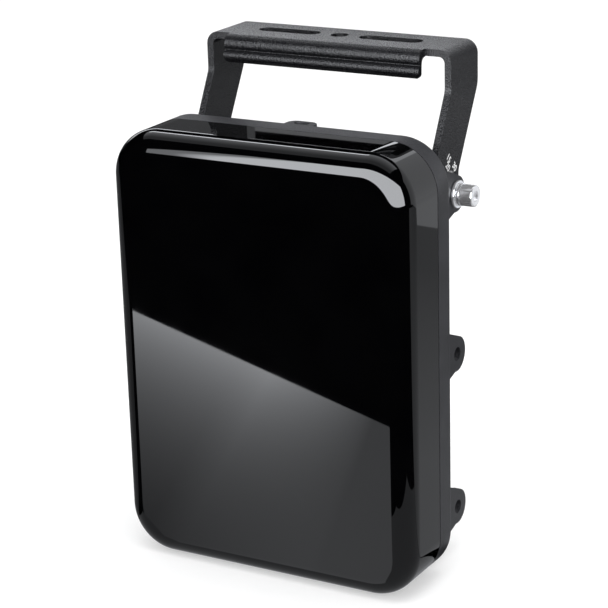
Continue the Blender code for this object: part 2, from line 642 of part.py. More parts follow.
# ---------------------------------------------------------------- underside fittings
UNDERSIDE_Y = 0.0310
DATA_PORT_X = 0.030
DC_INLET_X = -0.026
VENT_X = 0.002
LENS_X = 0.053
GROUND_X = -0.052
UNDERSIDE_HOLES = [("data_port", 0.0090, DATA_PORT_X), ("dc_inlet", 0.0065, DC_INLET_X),
                   ("vent_plug", 0.0035, VENT_X), ("status_lens", 0.0022, LENS_X),
                   ("ground_screw", 0.0026, GROUND_X)]


def make_underside():
    """Fittings that point down from the tub's bottom wall. Heights are measured down from that wall."""
    wall = (0, 0, -1)

    def at(x):
        return (x, UNDERSIDE_Y, -TUB_HEIGHT / 2 - GAP)

    data_port = [(0, -0.0070), (0.0085, -0.0070), (0.0085, 0.0), (0.0112, 0.0), (0.0112, 0.0020),
                 (0.0088, 0.0020), (0.0088, 0.0080), (0.0, 0.0080)]
    turned("data_port", list(reversed(data_port)), at(DATA_PORT_X), wall, BLACK_PLASTIC)
    cap = [(0, 0.0135), (0.0098, 0.0135), (0.0108, 0.0125), (0.0108, 0.0026), (0.0092, 0.0026),
           (0.0092, 0.0084), (0, 0.0084)]
    lid = turned("data_port_cap", cap, (0, 0, 0), wall, BLACK_PLASTIC, parent=CAP_AXIS)
    grip = block("cap_grip_helper", (0.0030, 0.0190, 0.0040), (DATA_PORT_X, UNDERSIDE_Y,
                 -TUB_HEIGHT / 2 - GAP - 0.0145), corner_axis=2, corner_radius=0.0008, steps=2)
    boolean(lid, grip, "UNION")
    dc_inlet = [(0, 0.0130), (0.0050, 0.0130), (0.0066, 0.0120), (0.0066, 0.0040), (0.0085, 0.0040),
                (0.0085, 0.0), (0.0060, 0.0), (0.0060, -0.0070), (0, -0.0070)]
    turned("dc_inlet", dc_inlet, at(DC_INLET_X), wall, BLACK_PLASTIC)
    vent_plug = [(0, 0.0045), (0.0050, 0.0045), (0.0060, 0.0035), (0.0060, 0), (0.0032, 0),
                 (0.0032, -0.0060), (0, -0.0060)]
    turned("vent_plug", vent_plug, at(VENT_X), wall, BLACK_PLASTIC, steps=16)
    status_lens = [(0, 0.0022), (0.0014, 0.0019), (0.0026, 0.0008), (0.0026, 0), (0.0019, 0),
                   (0.0019, -0.0060), (0, -0.0060)]
    turned("status_lens", status_lens, at(LENS_X), wall, LENS, steps=12)
    ground_screw = [(0, 0.0050), (0.0043, 0.0050), (0.0046, 0.0046), (0.0046, 0.0012), (0.0065, 0.0012),
                    (0.0065, 0), (0.0023, 0), (0.0023, -0.0080), (0, -0.0080)]
    turned("ground_screw", ground_screw, at(GROUND_X), wall, BRASS, steps=12)


# ---------------------------------------------------------------- build
clear_scene()
PARTS = new_collection("cellular_signal_booster")
CUTTERS = new_collection("cutters")

TILT_AXIS = new_empty("tilt_axis", UNIT_ORIGIN + Vector((0, PIVOT_Y, PIVOT_Z)))
UNIT = new_empty("unit_frame", (0, -PIVOT_Y, -PIVOT_Z), TILT_AXIS)
BRACKET = new_empty("bracket_frame", UNIT_ORIGIN)
CAP_AXIS = new_empty("cap_axis", (DATA_PORT_X, UNDERSIDE_Y, -TUB_HEIGHT / 2 - GAP), UNIT)

GLOSS_BLACK = material("gloss_black_cover", (0.006, 0.006, 0.007), 0.06)
CAST_BLACK = material("cast_black_powder", (0.016, 0.016, 0.018), 0.55)
POWDER_COAT = material("bracket_powder", (0.018, 0.018, 0.020), 0.48)
STAINLESS = material("stainless", (0.62, 0.61, 0.60), 0.22, 1.0)
BRASS = material("brass", (0.65, 0.48, 0.22), 0.35, 1.0)
COPPER = material("copper", (0.72, 0.36, 0.22), 0.35, 1.0)
ALUMINIUM = material("aluminium", (0.60, 0.61, 0.62), 0.40, 1.0)
TINPLATE = material("tinplate", (0.70, 0.70, 0.68), 0.30, 1.0)
NYLON = material("nylon", (0.70, 0.68, 0.62), 0.55)
RUBBER = material("seal_rubber", (0.020, 0.020, 0.020), 0.80)
PAD_GREY = material("thermal_pad_grey", (0.30, 0.33, 0.36), 0.85)
BOARD_GREEN = material("board_green", (0.012, 0.080, 0.030), 0.40)
BOARD_WHITE = material("board_white", (0.55, 0.54, 0.50), 0.45)
BLACK_PLASTIC = material("black_plastic", (0.020, 0.020, 0.022), 0.45)
LENS = material("clear_lens", (0.55, 0.75, 0.60), 0.10)

make_yoke_bracket().parent = BRACKET
for helper in CUTTERS.objects:
    helper.parent = BRACKET
make_front_cover()
make_cover_seal()
make_rear_housing()
make_tether_eye()
make_cover_screws()
make_pivot_hardware(-1, "left")
make_pivot_hardware(1, "right")
make_antenna()
make_electronics()
make_underside()
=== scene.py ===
"""Looks of the outdoor cellular signal booster: its shells, bracket, hardware, fittings and finishes."""
import json
import math

import bmesh
import bpy
from mathutils import Matrix, Vector


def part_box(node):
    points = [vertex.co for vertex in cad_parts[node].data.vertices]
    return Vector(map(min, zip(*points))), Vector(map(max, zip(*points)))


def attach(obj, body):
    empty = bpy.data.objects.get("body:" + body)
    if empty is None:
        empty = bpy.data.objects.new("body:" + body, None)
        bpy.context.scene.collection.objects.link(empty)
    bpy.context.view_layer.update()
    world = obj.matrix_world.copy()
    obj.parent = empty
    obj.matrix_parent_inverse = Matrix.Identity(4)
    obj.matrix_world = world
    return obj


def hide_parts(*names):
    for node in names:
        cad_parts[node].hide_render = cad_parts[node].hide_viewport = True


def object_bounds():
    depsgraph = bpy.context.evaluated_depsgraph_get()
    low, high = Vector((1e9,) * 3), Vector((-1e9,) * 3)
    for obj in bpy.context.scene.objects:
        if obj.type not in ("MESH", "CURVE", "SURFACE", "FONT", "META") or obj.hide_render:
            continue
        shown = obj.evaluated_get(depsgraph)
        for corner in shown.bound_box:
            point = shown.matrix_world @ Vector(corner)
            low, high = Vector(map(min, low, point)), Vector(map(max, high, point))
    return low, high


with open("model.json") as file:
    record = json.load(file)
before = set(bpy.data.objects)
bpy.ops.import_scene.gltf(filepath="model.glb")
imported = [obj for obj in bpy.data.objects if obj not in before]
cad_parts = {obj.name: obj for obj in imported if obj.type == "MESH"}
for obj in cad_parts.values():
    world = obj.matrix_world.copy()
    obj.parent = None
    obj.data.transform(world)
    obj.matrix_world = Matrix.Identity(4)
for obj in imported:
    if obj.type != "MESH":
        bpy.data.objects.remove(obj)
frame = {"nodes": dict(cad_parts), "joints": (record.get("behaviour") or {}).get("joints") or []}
cad_low, cad_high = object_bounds()

X, Y, Z = 0, 1, 2
GAP = 0.0003

# ---------------------------------------------------------------- places, worked out from the frame
COVER_LOW, COVER_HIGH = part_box("front_cover")
BRACKET_LOW, BRACKET_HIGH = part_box("yoke_bracket")
PARTING = Vector((0.0, COVER_HIGH.y + GAP, (COVER_LOW.z + COVER_HIGH.z) / 2))
PIVOT = Vector(next(j["pos_m"] for j in frame["joints"] if j["name"] == "bracket_tilt"))
STRAP_HOLE_Y = 0.0
BODY_WIDTH = COVER_HIGH.x - COVER_LOW.x
BODY_HEIGHT = COVER_HIGH.z - COVER_LOW.z

CORNER_RADIUS = 0.0294
COVER_FILLET = 0.0127
COVER_WALL = 0.003
RIM_DEPTH = 0.0162
RIM_WALL = 0.004
SHELF_WALL = 0.003
TUB_WIDTH, TUB_HEIGHT, TUB_BACK, TUB_WALL = 0.136, 0.236, 0.046, 0.003
FIN_COUNT, FIN_PITCH, FIN_THICKNESS, FIN_BACK, FIN_HEIGHT = 11, 0.0115, 0.0028, 0.058, 0.206
LUG_OUTER_X, LUG_THICKNESS, LUG_RADIUS, LUG_HOLE, LUG_PITCH = 0.0889, 0.004, 0.011, 0.0043, 0.100
PLATE = 0.0043
BEND_RADIUS = 0.008
ARM_END_RADIUS = 0.014
STRAP_FRONT = 0.0047
LIP_HALF_LENGTH = 0.0665
STRAP_SLOT_X, STRAP_SLOT_LENGTH, STRAP_SLOT_CORNER, STRAP_OPENING = 0.0348, 0.042, 0.00549, 0.011
BORE = 0.0043
BOLT_RADIUS, BOLT_HEAD, BOLT_PITCH, THREAD_DEPTH = 0.0040, 0.008, 0.00125, 0.0005
UNDERSIDE_Y = 0.0310
PORT_X, INLET_X, VENT_X, LAMP_X, EARTH_X = 0.030, -0.026, 0.002, 0.053, -0.052
SCREW_SPOTS = [(side * 0.075, level) for side in (-1, 1) for level in (-0.112, 0.0, 0.112)]


def spot(x, y, z):
    """A point given from the middle of the parting plane between cover and housing."""
    return PARTING + Vector((x, y, z))


# ---------------------------------------------------------------- bench tools
def put_down():
    """Leave edit mode with nothing selected."""
    if bpy.context.object and bpy.context.object.mode != "OBJECT":
        bpy.ops.object.mode_set(mode="OBJECT")
    bpy.ops.object.select_all(action="DESELECT")


def pick_up(piece):
    put_down()
    bpy.context.view_layer.objects.active = piece
    piece.select_set(True)


def settle(name):
    """Name the piece just added and put its place into its mesh."""
    piece = bpy.context.object
    piece.name = name
    piece.data.name = name
    bpy.ops.object.transform_apply(location=True, rotation=True, scale=True)
    return piece


def block(name, size, centre):
    put_down()
    bpy.ops.mesh.primitive_cube_add(size=1, location=centre, scale=size)
    return settle(name)


AIM = {"X": (0, math.pi / 2, 0), "Y": (-math.pi / 2, 0, 0), "Z": (0, 0, 0)}


def rod(name, radius, length, centre, axis, sides=48):
    put_down()
    bpy.ops.mesh.primitive_cylinder_add(vertices=sides, radius=radius, depth=length, location=centre,
                                        rotation=AIM[axis])
    return settle(name)


def choose(piece, kind, test):
    """Enter edit mode with only the edges or faces that pass a test selected."""
    pick_up(piece)
    bpy.ops.object.mode_set(mode="EDIT")
    bpy.ops.mesh.select_mode(type=kind)
    bpy.ops.mesh.select_all(action="DESELECT")
    mesh = bmesh.from_edit_mesh(piece.data)
    for item in (mesh.edges if kind == "EDGE" else mesh.faces):
        if test(item):
            item.select_set(True)
    bmesh.update_edit_mesh(piece.data)


def runs_along(axis):
    return lambda edge: abs((edge.verts[0].co - edge.verts[1].co).normalized()[axis]) > 0.99


def lies_at(axis, level):
    return lambda edge: all(abs(corner.co[axis] - level) < 1e-5 for corner in edge.verts)


def faces_to(axis, sign):
    return lambda face: face.normal[axis] * sign > 0.99


def round_edges(piece, test, radius, segments):
    choose(piece, "EDGE", test)
    bpy.ops.mesh.bevel(offset=radius, offset_type="OFFSET", segments=segments, profile=0.5,
                       affect="EDGES", clamp_overlap=False)
    put_down()


def remove_faces(piece, *tests):
    for test in tests:
        choose(piece, "FACE", test)
        bpy.ops.mesh.delete(type="ONLY_FACE")
        put_down()


def rounded_block(name, size, centre, axis, radius, segments=6):
    piece = block(name, size, centre)
    round_edges(piece, runs_along(axis), radius, segments)
    return piece


def modify(piece, kind, **settings):
    pick_up(piece)
    change = piece.modifiers.new(kind.lower(), kind)
    for setting, value in settings.items():
        setattr(change, setting, value)
    bpy.ops.object.modifier_apply(modifier=change.name)


def combine(piece, other, operation):
    modify(piece, "BOOLEAN", operation=operation, solver="EXACT", object=other)
    bpy.data.objects.remove(other)


def weld(piece, other):
    combine(piece, other, "UNION")


def cut(piece, other):
    combine(piece, other, "DIFFERENCE")


def tidy_mesh(piece):
    """Merge doubled corners and turn every face outwards."""
    choose(piece, "FACE", lambda face: True)
    bpy.ops.mesh.remove_doubles(threshold=1e-6)
    bpy.ops.mesh.normals_make_consistent(inside=False)
    put_down()


def soften(piece, width=0.0004, segments=2, angle=38):
    """Break the sharp edges, as casting, bending and coating leave them."""
    modify(piece, "BEVEL", limit_method="ANGLE", angle_limit=math.radians(angle), width=width,
           segments=segments, use_clamp_overlap=True)


def joined(pieces, name):
    """Make one piece of several that don't touch."""
    put_down()
    for piece in pieces:
        piece.select_set(True)
    bpy.context.view_layer.objects.active = pieces[0]
    bpy.ops.object.join()
    return settle(name)


def smooth(piece, angle=32):
    pick_up(piece)
    bpy.ops.object.shade_smooth_by_angle(angle=math.radians(angle))
    modify(piece, "WEIGHTED_NORMAL", keep_sharp=True)


def lathe(name, profile, centre, direction, sides=48):
    """A profile of (radius, height) points, drawn point by point and spun round its own axis."""
    put_down()
    bpy.ops.mesh.primitive_plane_add(size=1)
    piece = bpy.context.object
    bpy.ops.object.mode_set(mode="EDIT")
    bpy.ops.mesh.select_mode(type="VERT")
    bpy.ops.mesh.select_all(action="SELECT")
    bpy.ops.mesh.merge(type="CENTER")
    radius, height = profile[0]
    bpy.ops.transform.translate(value=(radius, 0, height))
    for next_radius, next_height in profile[1:]:
        step = (next_radius - radius, 0, next_height - height)
        bpy.ops.mesh.extrude_vertices_move(TRANSFORM_OT_translate={"value": step})
        radius, height = next_radius, next_height
    bpy.ops.mesh.select_all(action="SELECT")
    bpy.ops.mesh.spin(steps=sides, angle=2 * math.pi, center=(0, 0, 0), axis=(0, 0, 1))
    bpy.ops.object.mode_set(mode="OBJECT")
    piece.rotation_euler = Vector((0, 0, 1)).rotation_difference(Vector(direction)).to_euler()
    piece.location = centre
    settle(name)
    tidy_mesh(piece)
    return piece


def arc(centre, radius, start, end, steps=16):
    """Points of an arc in a plane, from start to end in degrees."""
    turns = [math.radians(start + (end - start) * step / steps) for step in range(steps + 1)]
    return [(centre[0] + radius * math.cos(t), centre[1] + radius * math.sin(t)) for t in turns]


def rounded_outline(corners):
    """Outline points for (a, b, radius) corners, each rounded by an arc tangent to its two sides."""
    points = []
    for index, (a, b, radius) in enumerate(corners):
        here = Vector((a, b))
        if radius == 0:
            points.append((a, b))
            continue
        before = (Vector(corners[index - 1][:2]) - here).normalized()
        after = (Vector(corners[(index + 1) % len(corners)][:2]) - here).normalized()
        half = before.angle(after) / 2
        start = here + before * radius / math.tan(half)
        end = here + after * radius / math.tan(half)
        middle = here + (before + after).normalized() * radius / math.sin(half)
        sweep = (start - middle).angle(end - middle)
        turn = 1 if (start - middle).cross(end - middle) > 0 else -1
        steps = max(3, round(math.degrees(sweep) / 6))
        for step in range(steps + 1):
            spoke = (start - middle).copy()
            spoke.rotate(Matrix.Rotation(turn * sweep * step / steps, 2))
            points.append(tuple(middle + spoke))
    return points


def plate(name, outline, low, high, axis):
    """A flat outline given a thickness from low to high. Its points are (y, z), (x, z) or (x, y)."""
    curve = bpy.data.curves.new(name, "CURVE")
    curve.dimensions = "2D"
    curve.fill_mode = "BOTH"
    curve.extrude = (high - low) / 2
    spline = curve.splines.new("POLY")
    spline.points.add(len(outline) - 1)
    for point, (a, b) in zip(spline.points, outline):
        point.co = (a, b, 0.0, 1.0)
    spline.use_cyclic_u = True
    piece = bpy.data.objects.new(name, curve)
    bpy.context.scene.collection.objects.link(piece)
    pick_up(piece)
    bpy.ops.object.convert(target="MESH")
    columns = {"X": ((0, 0, 1), (1, 0, 0), (0, 1, 0)),
               "Y": ((1, 0, 0), (0, 0, 1), (0, 1, 0)),
               "Z": ((1, 0, 0), (0, 1, 0), (0, 0, 1))}[axis]
    piece = bpy.context.object
    piece.data.transform(Matrix(columns).to_4x4())
    shift = Vector([(low + high) / 2 if letter == axis else 0.0 for letter in "XYZ"])
    piece.data.transform(Matrix.Translation(shift))
    piece.data.name = name
    tidy_mesh(piece)
    return piece


def shifted(points, by_a, by_b):
    return [(a + by_a, b + by_b) for a, b in points]


# ---------------------------------------------------------------- finishes
def new_finish(name, metallic=0.0, ior=1.5):
    finish = bpy.data.materials.new(name)
    finish.use_nodes = True
    tree = finish.node_tree
    shader = tree.nodes["Principled BSDF"]
    shader.inputs["Metallic"].default_value = metallic
    shader.inputs["IOR"].default_value = ior
    return finish, tree, shader, tree.nodes.new("ShaderNodeTexCoord").outputs["Object"]


def grain(tree, place, size, detail=2.0, stretch=(1, 1, 1)):
    """Noise whose grains are about size metres across, drawn out along the stretched axes."""
    mapping = tree.nodes.new("ShaderNodeMapping")
    mapping.inputs["Scale"].default_value = [1 / (size * pull) for pull in stretch]
    noise = tree.nodes.new("ShaderNodeTexNoise")
    noise.inputs["Scale"].default_value = 1.0
    noise.inputs["Detail"].default_value = detail
    tree.links.new(place, mapping.inputs["Vector"])
    tree.links.new(mapping.outputs["Vector"], noise.inputs["Vector"])
    return noise.outputs["Fac"]


def spread(tree, factor, low, high, start=0.35, end=0.65):
    """Turn a value that runs from start to end into one that runs from low to high."""
    change = tree.nodes.new("ShaderNodeMapRange")
    for socket, value in (("From Min", start), ("From Max", end), ("To Min", low), ("To Max", high)):
        change.inputs[socket].default_value = value
    tree.links.new(factor, change.inputs["Value"])
    return change.outputs["Result"]


def tint(tree, factor, dark, light, start=0.35, end=0.65):
    ramp = tree.nodes.new("ShaderNodeValToRGB")
    ramp.color_ramp.elements[0].position = start
    ramp.color_ramp.elements[0].color = (*dark, 1)
    ramp.color_ramp.elements[1].position = end
    ramp.color_ramp.elements[1].color = (*light, 1)
    tree.links.new(factor, ramp.inputs["Fac"])
    return ramp.outputs["Color"]


def relief(tree, shader, height, depth):
    bump = tree.nodes.new("ShaderNodeBump")
    bump.inputs["Distance"].default_value = depth
    bump.inputs["Strength"].default_value = 1.0
    tree.links.new(height, bump.inputs["Height"])
    tree.links.new(bump.outputs["Normal"], shader.inputs["Normal"])


def grained_finish(name, dark, light, rough, size, depth, metallic=0.0, stretch=(1, 1, 1), ior=1.5):
    """A finish with grain in its colour, its roughness and its relief."""
    finish, tree, shader, place = new_finish(name, metallic, ior)
    fine = grain(tree, place, size, 3.0, stretch)
    broad = grain(tree, place, size * 22)
    tree.links.new(tint(tree, broad, dark, light), shader.inputs["Base Color"])
    tree.links.new(spread(tree, fine, rough[0], rough[1]), shader.inputs["Roughness"])
    relief(tree, shader, fine, depth)
    return finish


def powder_coat():
    """Black polyester powder with a fine orange peel and scattered brighter specks."""
    finish, tree, shader, place = new_finish("powder_coat", ior=1.36)
    peel = grain(tree, place, 0.0009, 3.0)
    specks = grain(tree, place, 0.0005, 1.0)
    tree.links.new(tint(tree, specks, (0.002, 0.002, 0.003), (0.016, 0.016, 0.021), 0.50, 0.85),
                   shader.inputs["Base Color"])
    tree.links.new(spread(tree, peel, 0.24, 0.34), shader.inputs["Roughness"])
    relief(tree, shader, peel, 0.00032)
    return finish


def gloss_moulding():
    """Polished black moulding with the faintest haze in its shine."""
    finish, tree, shader, place = new_finish("gloss_moulding", ior=1.49)
    haze = grain(tree, place, 0.030)
    tree.links.new(tint(tree, haze, (0.0006, 0.0006, 0.0008), (0.0010, 0.0010, 0.0012)),
                   shader.inputs["Base Color"])
    tree.links.new(spread(tree, haze, 0.015, 0.030), shader.inputs["Roughness"])
    return finish


def board_finish(name, mask, lighter, track):
    """Solder mask with rows of tracks under it."""
    finish, tree, shader, place = new_finish(name)
    weave = grain(tree, place, 0.0012, 1.0, (1, 1, 9))
    tree.links.new(tint(tree, weave, mask, lighter, 0.48, 0.54), shader.inputs["Base Color"])
    tree.links.new(spread(tree, weave, 0.30, 0.42), shader.inputs["Roughness"])
    relief(tree, shader, weave, track)
    return finish


POWDER = powder_coat()
GLOSS = gloss_moulding()
CAST = grained_finish("cast_coat", (0.010, 0.010, 0.013), (0.017, 0.017, 0.021), (0.34, 0.46),
                      0.0008, 0.00030)
STEEL = grained_finish("plated_steel", (0.88, 0.88, 0.89), (0.97, 0.97, 0.98), (0.10, 0.20),
                       0.00035, 0.00001, 0.82)
BRASS = grained_finish("turned_brass", (0.60, 0.43, 0.19), (0.70, 0.53, 0.26), (0.25, 0.38),
                       0.0004, 0.00001, 1.0)
COPPER = grained_finish("bare_copper", (0.66, 0.31, 0.18), (0.78, 0.42, 0.27), (0.26, 0.42),
                        0.0005, 0.00001, 1.0)
SHEET_METAL = grained_finish("rolled_sheet", (0.55, 0.56, 0.57), (0.66, 0.67, 0.68), (0.30, 0.44), 0.0004,
                             0.00001, 1.0, (1, 1, 20))
TINPLATE = grained_finish("tinned_sheet", (0.66, 0.66, 0.64), (0.76, 0.76, 0.74), (0.18, 0.32), 0.0006,
                          0.00001, 1.0, (16, 1, 1))
NYLON = grained_finish("natural_nylon", (0.64, 0.62, 0.55), (0.74, 0.72, 0.66), (0.42, 0.56), 0.0008, 0.00002)
RUBBER = grained_finish("seal_rubber", (0.016, 0.016, 0.016), (0.026, 0.026, 0.026), (0.68, 0.86),
                        0.0006, 0.00003)
PAD = grained_finish("gap_pad", (0.26, 0.29, 0.32), (0.34, 0.37, 0.40), (0.78, 0.92), 0.0010, 0.00005)
PLASTIC = grained_finish("spark_eroded_plastic", (0.016, 0.016, 0.018), (0.025, 0.025, 0.028), (0.40, 0.56),
                         0.0005, 0.00004)
PRINT = grained_finish("scale_print", (0.68, 0.68, 0.68), (0.86, 0.86, 0.86), (0.48, 0.62), 0.0004, 0.00001)
LENS = grained_finish("lens_moulding", (0.45, 0.68, 0.50), (0.55, 0.78, 0.60), (0.05, 0.10), 0.0020, 0.00001)
GREEN_BOARD = board_finish("green_mask", (0.010, 0.070, 0.026), (0.016, 0.120, 0.045), 0.00003)
WHITE_BOARD = board_finish("antenna_laminate", (0.50, 0.49, 0.45), (0.60, 0.59, 0.55), 0.00001)


def hand_over(piece, finish, body, slot, *nodes):
    """Give a finished piece its finish, its body and the solids that it stands for."""
    piece.data.materials.clear()
    piece.data.materials.append(finish)
    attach(piece, body)
    if nodes:
        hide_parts(*nodes)


def dress(finish, *names):
    """Give solids that stay as they are their finish."""
    for name in names:
        node = frame["nodes"][name]
        if not node.material_slots:
            node.data.materials.append(finish)
        for holder in node.material_slots:
            holder.material = finish


# ---------------------------------------------------------------- cover
def make_cover():
    """Deep moulded shell with large corner radii and a full round at its front edge."""
    size = COVER_HIGH - COVER_LOW
    cover = rounded_block("cover_shell", size, (COVER_LOW + COVER_HIGH) / 2, Y, CORNER_RADIUS, 32)
    round_edges(cover, lies_at(Y, COVER_LOW.y), COVER_FILLET, 18)
    remove_faces(cover, faces_to(Y, 1))
    modify(cover, "SOLIDIFY", thickness=COVER_WALL, offset=-1.0, use_even_offset=True)
    for index, (x, z) in enumerate(SCREW_SPOTS):
        front, back = COVER_LOW.y + COVER_WALL / 2, PARTING.y - 0.0014
        boss = rod(f"boss_{index}", 0.0045, back - front, (x, (front + back) / 2, PARTING.z + z), "Y", 32)
        weld(cover, boss)
        cut(cover, rod(f"boss_bore_{index}", 0.0018, 0.030, (x, back, PARTING.z + z), "Y", 24))
    soften(cover, 0.0005, 3, 60)
    smooth(cover, 30)
    hand_over(cover, GLOSS, "housing", "gloss_black", "front_cover")


# ---------------------------------------------------------------- housing
def lug_outline(centre_z):
    """Side view of a cast lug: round at the hole and spreading to its root on the rim's back."""
    top_slope, low_slope = math.radians(21.6), math.radians(14.0)
    root_y = PARTING.y + RIM_DEPTH - 0.002 - PIVOT.y
    top_root = (LUG_RADIUS - root_y * math.sin(top_slope)) / math.cos(top_slope)
    low_root = -(LUG_RADIUS - root_y * math.sin(low_slope)) / math.cos(low_slope)
    nose = arc((0, 0), LUG_RADIUS, -90 - math.degrees(low_slope), 90 - math.degrees(top_slope), 36)
    return shifted([(root_y, low_root), *nose, (root_y, top_root)], PIVOT.y, centre_z)


def make_housing():
    """Die casting: rim, tub behind it, cooling fins and three lugs a side."""
    depth = RIM_DEPTH - GAP
    housing = rounded_block("housing_casting", (BODY_WIDTH, depth, BODY_HEIGHT), spot(0, GAP + depth / 2, 0),
                            Y, CORNER_RADIUS, 28)
    round_edges(housing, lies_at(Y, PARTING.y + RIM_DEPTH), 0.0025, 6)
    tub_front = RIM_DEPTH - SHELF_WALL / 2
    tub = rounded_block("tub", (TUB_WIDTH, TUB_BACK - tub_front, TUB_HEIGHT),
                        spot(0, (TUB_BACK + tub_front) / 2, 0), Y, 0.012, 12)
    round_edges(tub, lies_at(Y, PARTING.y + TUB_BACK), 0.003, 5)
    weld(housing, tub)
    for index in range(FIN_COUNT):
        x = (index - (FIN_COUNT - 1) / 2) * FIN_PITCH
        front = TUB_BACK - 0.001
        fin = rounded_block(f"fin_{index}", (FIN_THICKNESS, FIN_BACK - front, FIN_HEIGHT),
                            spot(x, (FIN_BACK + front) / 2, 0), X, 0.0050, 6)
        weld(housing, fin)
    lug_levels = [PIVOT.z - level * LUG_PITCH for level in range(3)]
    for side in (-1, 1):
        low, high = sorted((side * (LUG_OUTER_X - LUG_THICKNESS), side * LUG_OUTER_X))
        for level in lug_levels:
            weld(housing, plate(f"lug_{side}_{level:.3f}", lug_outline(level), low, high, "X"))
    front = PARTING.y - 0.010
    rim_floor = PARTING.y + RIM_DEPTH - SHELF_WALL
    cut(housing, rounded_block("rim_cavity", (BODY_WIDTH - 2 * RIM_WALL, rim_floor - front,
                                              BODY_HEIGHT - 2 * RIM_WALL),
                               (0, (rim_floor + front) / 2, PARTING.z), Y, CORNER_RADIUS - RIM_WALL, 20))
    tub_floor = PARTING.y + TUB_BACK - TUB_WALL
    cut(housing, rounded_block("tub_cavity", (TUB_WIDTH - 2 * TUB_WALL, tub_floor - front,
                                              TUB_HEIGHT - 2 * TUB_WALL),
                               (0, (tub_floor + front) / 2, PARTING.z), Y, 0.009, 10))
    for index, (x, z) in enumerate(SCREW_SPOTS):
        length = RIM_DEPTH - 0.001 + 0.0008
        weld(housing, rod(f"post_{index}", 0.0045, length, spot(x, length / 2 - 0.0008, z), "Y", 32))
        cut(housing, rod(f"post_bore_{index}", 0.0019, 0.040, spot(x, 0.010, z), "Y", 24))
    for side in (-1, 1):
        for level in lug_levels:
            centre = (side * (LUG_OUTER_X - LUG_THICKNESS / 2), PIVOT.y, level)
            cut(housing, rod(f"lug_hole_{side}_{level:.3f}", LUG_HOLE, 3 * LUG_THICKNESS, centre, "X", 40))
    for name, radius, x in (("port", 0.0090, PORT_X), ("inlet", 0.0065, INLET_X), ("vent", 0.0035, VENT_X),
                            ("lamp", 0.0022, LAMP_X), ("earth", 0.0026, EARTH_X)):
        cut(housing, rod(f"{name}_hole", radius, 0.014, spot(x, UNDERSIDE_Y, -TUB_HEIGHT / 2), "Z", 32))
    soften(housing, 0.0005, 2, 40)
    smooth(housing, 30)
    hand_over(housing, CAST, "housing", "cast_black", "rear_housing")


def make_tether_eye():
    low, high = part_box("tether_eye")
    eye = block("tether_ear", high - low, (low + high) / 2)

    def back_corner(edge):
        return runs_along(Z)(edge) and edge.verts[0].co.y > high.y - 1e-4

    round_edges(eye, back_corner, 0.006, 10)
    slot_centre = (0, PARTING.y + 0.0210, high.z)
    cut(eye, rounded_block("ear_slot", (0.0095, 0.0050, 0.020), slot_centre, Z, 0.0024, 8))
    soften(eye, 0.0005, 3)
    smooth(eye)
    hand_over(eye, CAST, "housing", "cast_black", "tether_eye")


# ---------------------------------------------------------------- bracket
def arm_side():
    """Side view of an arm: round foot at the pivot, a slanting neck and a straight upper part."""
    foot = arc((PIVOT.y, PIVOT.z), ARM_END_RADIUS, 180, 360, 36)
    neck_low, neck_top = PIVOT.z + 0.0253, PIVOT.z + 0.0598
    heel_low, heel_top = PIVOT.z + 0.0110, PIVOT.z + 0.0580
    return rounded_outline([
        (BRACKET_HIGH.y, BRACKET_HIGH.z + 0.002, 0),
        (PIVOT.y + STRAP_FRONT, BRACKET_HIGH.z + 0.002, 0),
        (PIVOT.y + STRAP_FRONT, neck_top, 0.010),
        (PIVOT.y - ARM_END_RADIUS, neck_low, 0.010),
        *[(y, z, 0) for y, z in foot],
        (PIVOT.y + ARM_END_RADIUS, heel_low, 0.008),
        (BRACKET_HIGH.y, heel_top, 0.012)])


def make_lip():
    """The strap's front lip: rolled over into two long ridges with a crease between them."""
    top = BRACKET_HIGH.z
    front = PIVOT.y + STRAP_FRONT
    roll = PIVOT.y + 0.0028
    upper_ridge = arc((roll, top - 0.0058), 0.0058, 90, 198, 18)
    crease = [(roll - 0.0046, top - 0.0088)]
    lower_ridge = arc((roll - 0.0032, top - 0.0126), 0.0038, 112, 232, 16)
    inside = [(roll - 0.0046, top - 0.0168), (roll - 0.0026, top - 0.0156), (roll - 0.0024, top - 0.0100)]
    hollow = arc((roll + 0.0012, top - PLATE - 0.0040), 0.0034, 172, 95, 8)
    outline = [(front + 0.003, top), *upper_ridge, *crease, *lower_ridge, *inside, *hollow,
               (front + 0.003, top - PLATE)]
    lip = plate("lip", outline, -LIP_HALF_LENGTH, LIP_HALF_LENGTH, "X")
    ends = rounded_block("lip_ends", (2 * LIP_HALF_LENGTH, 0.060, 0.034), (0, front, top), Y, 0.0030, 8)
    combine(lip, ends, "INTERSECT")
    return lip


